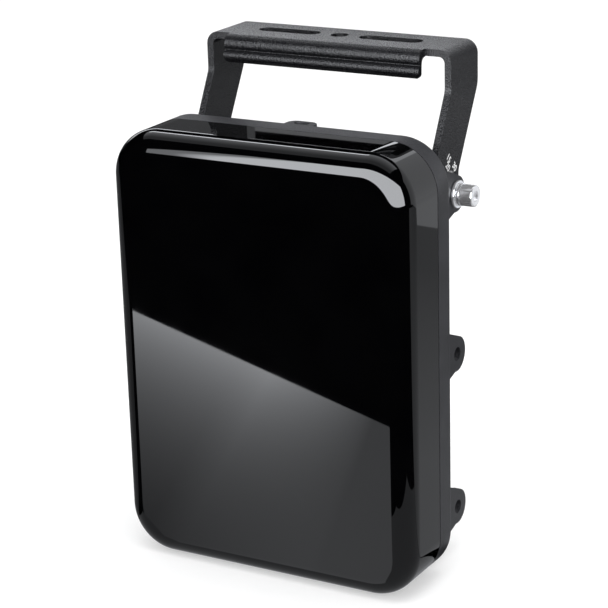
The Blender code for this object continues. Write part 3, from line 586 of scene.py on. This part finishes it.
def make_bracket():
    """Yoke of bent plate: strap and arms in one, with the side view, lip, slots and holes worked on it."""
    width = BRACKET_HIGH.x - BRACKET_LOW.x
    foot = BRACKET_LOW.z - 0.002
    deep = (BRACKET_HIGH.y - BRACKET_LOW.y) + 0.030
    middle = (0, (BRACKET_HIGH.y + BRACKET_LOW.y) / 2, (BRACKET_HIGH.z + foot) / 2)
    yoke = block("yoke", (width, deep, BRACKET_HIGH.z - foot), middle)

    def top_bend(edge):
        return runs_along(Y)(edge) and edge.verts[0].co.z > BRACKET_HIGH.z - 1e-4

    round_edges(yoke, top_bend, BEND_RADIUS, 16)
    remove_faces(yoke, faces_to(Z, -1), faces_to(Y, 1), faces_to(Y, -1))
    modify(yoke, "SOLIDIFY", thickness=PLATE, offset=-1.0, use_even_offset=True)
    combine(yoke, plate("side_view", arm_side(), -width, width, "X"), "INTERSECT")
    weld(yoke, make_lip())
    for centre in (-STRAP_SLOT_X, STRAP_SLOT_X):
        slot = rounded_block("slot", (STRAP_SLOT_LENGTH, STRAP_OPENING, 0.030),
                             (centre, STRAP_HOLE_Y, BRACKET_HIGH.z), Z, STRAP_SLOT_CORNER, 16)
        cut(yoke, slot)
    cut(yoke, rod("strap_hole", STRAP_OPENING / 2, 0.030, (0, STRAP_HOLE_Y, BRACKET_HIGH.z), "Z", 48))
    cut(yoke, rod("pivot_hole", BORE, 2 * width, PIVOT, "X", 48))
    soften(yoke, 0.0006, 3, 42)
    smooth(yoke, 30)
    hand_over(yoke, POWDER, "bracket", "bracket_powder", "yoke_bracket")


def make_angle_scale():
    """White tilt scale printed on the right arm, its numbers and ticks set round the pivot."""
    face_x = BRACKET_HIGH.x
    thickness = 0.00006
    marks = []
    numbers = (("15", 88, 0.0208), ("30", 59, 0.0162), ("20", 92, 0.0160))
    for index, (number, turn, reach) in enumerate(numbers):
        put_down()
        bpy.ops.object.text_add()
        words = bpy.context.object
        words.data.body = number
        words.data.size = 0.0058
        words.data.extrude = thickness
        words.data.offset = 0.00012
        words.data.align_x = "CENTER"
        words.data.align_y = "CENTER"
        bpy.ops.object.convert(target="MESH")
        words = bpy.context.object
        words.name = f"number_{index}"
        lean = Matrix.Rotation(math.radians(-52), 4, "Z")
        upright = Matrix(((0, 0, 1), (1, 0, 0), (0, 1, 0))).to_4x4()
        y = PIVOT.y + reach * math.cos(math.radians(turn))
        z = PIVOT.z + reach * math.sin(math.radians(turn))
        words.data.transform(Matrix.Translation((face_x, y, z)) @ upright @ lean)
        marks.append(words)
    for step in range(6):
        turn = math.radians(60 + 8 * step)
        tick = block(f"tick_{step}", (2 * thickness, 0.0016, 0.00035), (0, 0.0126, 0))
        around = Matrix.Rotation(turn, 4, "X")
        tick.data.transform(Matrix.Translation((face_x, PIVOT.y, PIVOT.z)) @ around)
        marks.append(tick)
    hand_over(joined(marks, "tilt_scale"), PRINT, "bracket", "bracket_powder")


# ---------------------------------------------------------------- fasteners
def threaded(radius, start, end, pitch, depth):
    """Profile points of a threaded shank, from start down to end."""
    points = []
    turns = int((start - end) / pitch)
    for turn in range(turns):
        height = start - turn * pitch
        points += [(radius, height), (radius - depth, height - pitch / 2)]
    return points


def make_tilt_fasteners(side, word):
    """Socket bolt, split washer, flat washer and nut of one pivot."""
    direction = (side, 0, 0)

    def span(node):
        low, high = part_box(node)
        return (low.x, high.x) if side > 0 else (-high.x, -low.x)

    tip, end = span(f"tilt_bolt_{word}")
    base = end - BOLT_HEAD
    head = [(0, BOLT_HEAD), *arc((0.0057, 0.0072), 0.0008, 90, 0, 5),
            *arc((0.0062, 0.0003), 0.0003, 0, -90, 3),
            (BOLT_RADIUS, 0)]
    shank = threaded(BOLT_RADIUS, -0.0130, tip - base + 0.0010, BOLT_PITCH, THREAD_DEPTH)
    profile = [*head, (BOLT_RADIUS, -0.0128), *shank, (0.0033, tip - base), (0, tip - base)]
    bolt = lathe(f"socket_bolt_{word}", profile, (side * base, PIVOT.y, PIVOT.z), direction, 56)
    cut(bolt, rod("hex_socket", 0.0035, 0.009, (side * end, PIVOT.y, PIVOT.z), "X", 6))
    smooth(bolt, 34)
    hand_over(bolt, STEEL, "housing", "stainless", f"tilt_bolt_{word}")

    low, high = span(f"spring_washer_{word}")
    thick = high - low
    ring = [(BORE, 0.0002), (0.0045, 0), (0.0066, 0), (0.0068, 0.0002), (0.0068, thick - 0.0002),
            (0.0066, thick), (0.0045, thick), (BORE, thick - 0.0002), (BORE, 0.0002)]
    split = lathe(f"split_washer_{word}", ring, (side * low, PIVOT.y, PIVOT.z), direction, 56)
    slit = block("slit", (0.008, 0.0012, 0.010), (0, 0, 0))
    lean = Matrix.Translation((side * (low + thick / 2), PIVOT.y, PIVOT.z + 0.006))
    slit.data.transform(lean @ Matrix.Rotation(math.radians(25), 4, "Z"))
    cut(split, slit)
    smooth(split, 34)
    hand_over(split, STEEL, "housing", "stainless", f"spring_washer_{word}")

    low, high = span(f"flat_washer_{word}")
    thick = high - low
    ring = [(BORE, 0), *arc((0.0080, 0.0003), 0.0003, -90, 0, 4),
            *arc((0.0080, thick - 0.0003), 0.0003, 0, 90, 4), (BORE, thick), (BORE, 0)]
    washer = lathe(f"plain_washer_{word}", ring, (side * low, PIVOT.y, PIVOT.z), direction, 64)
    smooth(washer, 34)
    hand_over(washer, STEEL, "housing", "stainless", f"flat_washer_{word}")

    low, high = span(f"pivot_nut_{word}")
    thick = high - low
    middle = (side * (low + high) / 2, PIVOT.y, PIVOT.z)
    nut = rod(f"hex_nut_{word}", 0.0075, thick, middle, "X", 6)
    dome = [(0, 0), (0.0066, 0), (0.0078, 0.0008), (0.0078, thick - 0.0008), (0.0066, thick), (0, thick)]
    combine(nut, lathe("dome", dome, (side * low, PIVOT.y, PIVOT.z), direction, 48), "INTERSECT")
    cut(nut, rod("nut_bore", BORE, 3 * thick, middle, "X", 40))
    smooth(nut, 28)
    hand_over(nut, STEEL, "bracket", "stainless", f"pivot_nut_{word}")


def make_cover_screws():
    profile = [(0, 0.0030), *arc((0.0022, 0.0025), 0.0005, 90, 0, 4), (0.0027, 0), (0.0015, 0),
               *threaded(0.0015, -0.016, -0.028, 0.0005, 0.0002), (0.0010, -0.0285), (0, -0.0285)]
    for index, (x, z) in enumerate(SCREW_SPOTS):
        screw = lathe(f"shelf_screw_{index + 1}", profile, spot(x, RIM_DEPTH + GAP, z), (0, 1, 0), 24)
        cut(screw, rod("screw_socket", 0.0013, 0.003, spot(x, RIM_DEPTH + 0.0033, z), "Y", 6))
        smooth(screw, 34)
        hand_over(screw, STEEL, "housing", "stainless", f"cover_screw_{index + 1}")


# ---------------------------------------------------------------- underside fittings
def scallops(radius, depth, count, steps=8):
    """Outline of a grip: a circle whose edge rises and falls count times."""
    turns = [2 * math.pi * step / (count * steps) for step in range(count * steps)]
    reach = [radius + depth * math.cos(count * turn) for turn in turns]
    return [(r * math.cos(turn), r * math.sin(turn)) for r, turn in zip(reach, turns)]


def make_underside():
    """Fittings that point down from the tub's bottom wall. Heights run down from that wall."""
    down = (0, 0, -1)
    wall = -TUB_HEIGHT / 2 - GAP

    port = [(0, -0.0070), (0.0085, -0.0070), (0.0085, 0), *arc((0.0108, 0.0004), 0.0004, -90, 0, 3),
            *arc((0.0108, 0.0016), 0.0004, 0, 90, 3), (0.0088, 0.0020), (0.0088, 0.0074), (0.0084, 0.0080),
            (0, 0.0080)]
    socket = lathe("data_socket", port, spot(PORT_X, UNDERSIDE_Y, wall), down, 56)
    smooth(socket, 34)
    hand_over(socket, PLASTIC, "housing", "black_plastic", "data_port")

    lid_profile = [(0, 0.0135), (0.0086, 0.0135), *arc((0.0092, 0.0125), 0.0010, 90, 0, 5), (0.0102, 0.0030),
                   (0.0098, 0.0026), (0.0092, 0.0026), (0.0092, 0.0084), (0, 0.0084)]
    lid = lathe("data_socket_lid", lid_profile, spot(PORT_X, UNDERSIDE_Y, wall), down, 64)
    low, high = wall + PARTING.z - 0.0118, wall + PARTING.z - 0.0042
    edge = shifted(scallops(0.01035, 0.00035, 24), PORT_X, PARTING.y + UNDERSIDE_Y)
    grip = plate("grip", edge, low, high, "Z")
    core = rod("grip_core", 0.0095, 0.030, spot(PORT_X, UNDERSIDE_Y, wall), "Z", 64)
    cut(grip, core)
    weld(lid, grip)
    bar = rounded_block("turn_bar", (0.0030, 0.0176, 0.0040), spot(PORT_X, UNDERSIDE_Y, wall - 0.0145), Z,
                        0.0012, 5)
    weld(lid, bar)
    soften(lid, 0.0003, 2, 50)
    smooth(lid, 34)
    hand_over(lid, PLASTIC, "port_cap", "black_plastic", "data_port_cap")

    inlet = [(0, 0.0040), (0.0044, 0.0040), (0.0044, 0.0126), (0.0050, 0.0130), (0.0062, 0.0128),
             *threaded(0.0066, 0.0120, 0.0045, 0.0010, 0.0004), (0.0066, 0.0040), (0.0085, 0.0040),
             (0.0085, 0), (0.0060, 0), (0.0060, -0.0070), (0, -0.0070)]
    power = lathe("power_socket", inlet, spot(INLET_X, UNDERSIDE_Y, wall), down, 56)
    smooth(power, 34)
    hand_over(power, PLASTIC, "housing", "black_plastic", "dc_inlet")
    pins = []
    for turn in (45, 135, 225, 315):
        a, b = 0.0022 * math.cos(math.radians(turn)), 0.0022 * math.sin(math.radians(turn))
        pin = [(0, 0), (0.0005, 0), (0.0005, 0.0072), *arc((0.0002, 0.0074), 0.0003, 0, 90, 3), (0, 0.0077)]
        pins.append(lathe(f"pin_{turn}", pin, spot(INLET_X + a, UNDERSIDE_Y + b, wall - 0.0038), down, 16))
    contacts = joined(pins, "power_pins")
    smooth(contacts, 40)
    hand_over(contacts, BRASS, "housing", "brass")

    vent = [(0, 0.0038), (0.0030, 0.0038), (0.0034, 0.0045), *arc((0.0052, 0.0037), 0.0008, 90, 0, 4),
            (0.0060, 0), (0.0032, 0), (0.0032, -0.0060), (0, -0.0060)]
    plug = lathe("breather", vent, spot(VENT_X, UNDERSIDE_Y, wall), down, 40)
    for turn in range(6):
        about = math.radians(60 * turn)
        place = spot(VENT_X + 0.0060 * math.cos(about), UNDERSIDE_Y + 0.0060 * math.sin(about), wall - 0.0016)
        cut(plug, rod("breather_hole", 0.0007, 0.0016, place, "Z", 12))
    smooth(plug, 34)
    hand_over(plug, PLASTIC, "housing", "black_plastic", "vent_plug")

    dome = [*arc((0, 0.0008), 0.0014, 90, 0, 6), (0.0026, 0.0008), (0.0026, 0), (0.0019, 0),
            (0.0019, -0.0060), (0, -0.0060)]
    lamp = lathe("lamp_window", dome, spot(LAMP_X, UNDERSIDE_Y, wall), down, 32)
    smooth(lamp, 34)
    hand_over(lamp, LENS, "housing", "clear_lens", "status_lens")

    earth = [(0, 0.0050), (0.0040, 0.0050), (0.0046, 0.0044), (0.0046, 0.0012), (0.0065, 0.0012), (0.0065, 0),
             (0.0023, 0), *threaded(0.0023, -0.0005, -0.0080, 0.0007, 0.0003), (0, -0.0080)]
    screw = lathe("earth_screw", earth, spot(EARTH_X, UNDERSIDE_Y, wall), down, 32)
    cut(screw, block("screw_slot", (0.0012, 0.020, 0.0030), spot(EARTH_X, UNDERSIDE_Y, wall - 0.0050)))
    smooth(screw, 34)
    hand_over(screw, BRASS, "housing", "brass", "ground_screw")


def dress_inside():
    """Finishes of the solids that stay as they are, inside the closed unit."""
    dress(RUBBER, "cover_seal")
    dress(NYLON, "friction_washer_left", "friction_washer_right")
    dress(NYLON, *[f"antenna_spacer_{n}" for n in (1, 2, 3, 4)])
    dress(WHITE_BOARD, "antenna_board")
    dress(COPPER, "rf_jumper_left", "rf_jumper_right", *[f"patch_element_{n}" for n in (1, 2, 3, 4)])
    dress(SHEET_METAL, "reflector_plate", "duplexer_block")
    dress(BRASS, *[f"{kind}_standoff_{n}" for kind in ("antenna", "board") for n in (1, 2, 3, 4)])
    dress(GREEN_BOARD, "main_board")
    dress(STEEL, *[f"board_screw_{n}" for n in (1, 2, 3, 4)])
    dress(TINPLATE, "rf_shield_can", "digital_shield_can")
    dress(PAD, "rf_thermal_pad", "digital_thermal_pad")
    dress(PLASTIC, "power_module", "data_transformer")


# ---------------------------------------------------------------- studio
def make_floor():
    put_down()
    bpy.ops.mesh.primitive_plane_add(size=8, location=(0, 0, cad_low.z - 0.0002))
    floor = settle("studio_floor")
    paper = grained_finish("studio_paper", (0.58, 0.58, 0.58), (0.60, 0.60, 0.60), (0.80, 0.92),
                           0.004, 0.00001)
    shader = paper.node_tree.nodes["Principled BSDF"]
    shader.inputs["Emission Color"].default_value = (1, 1, 1, 1)
    shader.inputs["Emission Strength"].default_value = 0.42
    floor.data.materials.append(paper)
    floor.visible_glossy = False


def only_in_reflections(card):
    """Cards and the dark room are seen by shiny surfaces and by nothing else."""
    card.visible_camera = False
    card.visible_diffuse = False
    card.visible_transmission = False
    card.visible_shadow = False


def glow(name, strength):
    """A plain light surface. Its strength may be worked out from its place by a function."""
    light = bpy.data.materials.new(name)
    light.use_nodes = True
    tree = light.node_tree
    tree.nodes.clear()
    lamp = tree.nodes.new("ShaderNodeEmission")
    lamp.inputs["Color"].default_value = (0.94, 0.96, 1.0, 1.0)
    if callable(strength):
        tree.links.new(strength(tree, tree.nodes.new("ShaderNodeTexCoord").outputs["Object"]),
                       lamp.inputs["Strength"])
    else:
        lamp.inputs["Strength"].default_value = strength
    tree.links.new(lamp.outputs["Emission"], tree.nodes.new("ShaderNodeOutputMaterial").inputs["Surface"])
    return light


def towards(azimuth, elevation=0.0):
    """Direction turned from straight behind the unit, to its right, then raised."""
    a, e = math.radians(azimuth), math.radians(elevation)
    return Vector((math.sin(a) * math.cos(e), math.cos(a) * math.cos(e), math.sin(e)))


def upright_card(name, centre, width, height, azimuth, strength):
    """Card standing on its edge and turned to an azimuth."""
    put_down()
    bpy.ops.mesh.primitive_plane_add(size=1)
    card = bpy.context.object
    card.name = name
    card.scale = (width, height, 1)
    card.location = centre
    card.rotation_euler = (math.pi / 2, 0, -math.radians(azimuth))
    card.data.materials.append(glow(name, strength))
    only_in_reflections(card)


def wall_card(name, azimuth, distance, width, low, high, strength):
    """Upright card square to its direction from the unit, between two heights."""
    centre = Vector((0, PARTING.y, (low + high) / 2)) + towards(azimuth) * distance
    upright_card(name, centre, width, high - low, azimuth, strength)


def level_card(name, outline, level, strength):
    """Flat card lying level, drawn as (x, y) points."""
    card = plate(name, outline, level, level + 0.0002, "Z")
    card.data.materials.append(glow(name, strength))
    only_in_reflections(card)


DIAGONAL_START = Vector((-0.372, -0.513))
DIAGONAL_TURN = math.radians(24.7)


def along_diagonal(along, out):
    """A floor point given along the bright floor's far edge, and from that edge towards the unit."""
    return tuple(DIAGONAL_START + Matrix.Rotation(DIAGONAL_TURN, 2) @ Vector((along, out)))


def arithmetic(tree, operation, first, second):
    step = tree.nodes.new("ShaderNodeMath")
    step.operation = operation
    for socket, value in zip(step.inputs, (first, second)):
        if isinstance(value, float):
            socket.default_value = value
        else:
            tree.links.new(value, socket)
    return step.outputs["Value"]


def floor_glow(tree, place):
    """Bright beside the diagonal edge and falling off towards the unit and to the right."""
    mapping = tree.nodes.new("ShaderNodeMapping")
    back = Matrix.Rotation(-DIAGONAL_TURN, 2) @ DIAGONAL_START
    mapping.inputs["Location"].default_value = (-back.x, -back.y, 0)
    mapping.inputs["Rotation"].default_value = (0, 0, -DIAGONAL_TURN)
    tree.links.new(place, mapping.inputs["Vector"])
    split = tree.nodes.new("ShaderNodeSeparateXYZ")
    tree.links.new(mapping.outputs["Vector"], split.inputs["Vector"])
    along, out = split.outputs["X"], split.outputs["Y"]
    falling = arithmetic(tree, "EXPONENT", arithmetic(tree, "MULTIPLY", out, -12.0), 0.0)
    across = arithmetic(tree, "SUBTRACT", along, out)
    bright = arithmetic(tree, "MULTIPLY", falling, spread(tree, across, 5.2, 0.0, 0.21, 0.34))
    return arithmetic(tree, "ADD", bright, spread(tree, across, 0.12, 1.00, 0.17, 0.33))


def part_of(tree, place, axis):
    split = tree.nodes.new("ShaderNodeSeparateXYZ")
    tree.links.new(place, split.inputs["Vector"])
    return split.outputs[axis]


def softbox_glow(tree, place):
    """Full strength, dropping near the softbox's left end."""
    across = part_of(tree, place, "X")
    return arithmetic(tree, "MULTIPLY", spread(tree, across, 11.0, 3.2, 0.388, 0.412),
                      spread(tree, across, 1.0, 0.0, 0.434, 0.440))


def ceiling_glow(tree, place):
    """Brighter towards the back of the room."""
    return spread(tree, part_of(tree, place, "Y"), 0.45, 1.70, -0.3, 0.8)


def side_glow(tree, place):
    """Darker further back along the unit's right side."""
    return spread(tree, part_of(tree, place, "Y"), 0.50, 0.28, 0.10, 0.50)


def make_softbox(name, size, place, aim, power):
    data = bpy.data.lights.new(name, "AREA")
    data.shape = "RECTANGLE"
    data.size, data.size_y = size
    data.energy = power
    lamp = bpy.data.objects.new(name, data)
    bpy.context.scene.collection.objects.link(lamp)
    lamp.location = place
    lamp.rotation_euler = (Vector(aim) - Vector(place)).to_track_quat("-Z", "Y").to_euler()
    lamp.visible_camera = False
    lamp.visible_glossy = False


def make_studio():
    scene = bpy.context.scene
    scene.view_settings.view_transform = "Standard"
    world = bpy.data.worlds.new("studio_air")
    world.use_nodes = True
    air = world.node_tree.nodes["Background"]
    air.inputs["Color"].default_value = (1.0, 1.0, 1.0, 1.0)
    air.inputs["Strength"].default_value = 1.0
    scene.world = world
    make_floor()
    make_softbox("overhead_box", (1.2, 0.8), (0.3, -0.2, 1.5), PARTING, 14)

    put_down()
    bpy.ops.mesh.primitive_cube_add(size=7.6)
    room = settle("dark_room")
    room.data.materials.append(glow("dark_room", 0.0))
    only_in_reflections(room)

    ground = cad_low.z + 0.0008
    wall_card("front_softbox", 164, 1.20, 3.36, -0.28, 0.98, softbox_glow)
    wall_card("back_card", -30, 1.50, 2.20, 0.20, 0.58, 2.5)
    wall_card("right_back_card", 38, 1.50, 2.34, -0.30, 1.20, 0.85)
    wall_card("rear_corner_card", -4, 1.40, 0.55, 0.62, 0.92, 1.7)
    level_card("ceiling", [(-1.6, -0.7), (0.9, -0.7), (0.9, 0.9), (-1.6, 0.9)], 1.40, ceiling_glow)
    level_card("high_strip", [(-1.10, 0.49), (-0.44, 0.49), (-0.44, 0.61), (-1.10, 0.61)], 1.05, 9.0)
    level_card("front_floor", [along_diagonal(0, 0), along_diagonal(0.366, 0), along_diagonal(0.56, 0.147),
                               (0.080, -0.118), (-0.070, -0.118), along_diagonal(0.36, 0.215),
                               along_diagonal(0.19, 0.113)], ground, floor_glow)
    level_card("near_floor", [(-0.130, -0.150), (0.030, -0.225), (0.100, -0.255), (0.27, -0.20),
                              (0.27, -0.05), (-0.130, -0.05)], ground - 0.0004, 0.38)
    level_card("right_floor", [(0.12, -0.048), (1.2, -0.048), (1.2, 0.62), (0.30, 0.62), (0.06, 0.02)],
               ground, side_glow)
    level_card("far_floor", [(0.30, 0.62), (2.4, 0.62), (2.4, 3.0), (0.9, 3.0)], ground, 0.80)
    level_card("left_floor", [(-3.0, -0.05), (-0.5, -0.40), (-0.12, -0.10), (-0.12, 0.4), (-3.0, 1.6)],
               ground, 0.20)

    behind = 0.120
    for name, left, right, low, high, strength in (
            ("rear_dark", -0.135, 0.160, 0.0125, 0.0245, 0.0),
            ("rear_low", -0.135, 0.160, -0.0430, 0.0125, 0.30),
            ("rear_left", -0.700, -0.135, -0.0430, 0.0245, 0.14)):
        centre = ((left + right) / 2, behind, (low + high) / 2)
        upright_card(name, centre, right - left, high - low, 0, strength)


def make_camera():
    azimuth, elevation, roll = math.radians(30.44), math.radians(19.15), math.radians(-1.77)
    distance = 1.320
    data = bpy.data.cameras.new("camera")
    data.lens = 129.07
    data.shift_x, data.shift_y = 0.0219, 0.0727
    data.clip_start = 0.01
    camera = bpy.data.objects.new("camera", data)
    bpy.context.scene.collection.objects.link(camera)
    back = Vector((math.sin(azimuth) * math.cos(elevation), -math.cos(azimuth) * math.cos(elevation),
                   math.sin(elevation)))
    turn = (-back).to_track_quat("-Z", "Y").to_matrix() @ Matrix.Rotation(roll, 3, "Z")
    camera.location = PARTING + back * distance
    camera.rotation_euler = turn.to_euler()
    bpy.context.scene.camera = camera


make_cover()
make_housing()
make_tether_eye()
make_bracket()
make_angle_scale()
make_tilt_fasteners(-1, "left")
make_tilt_fasteners(1, "right")
make_cover_screws()
make_underside()
dress_inside()
make_studio()
make_camera()

put_down()
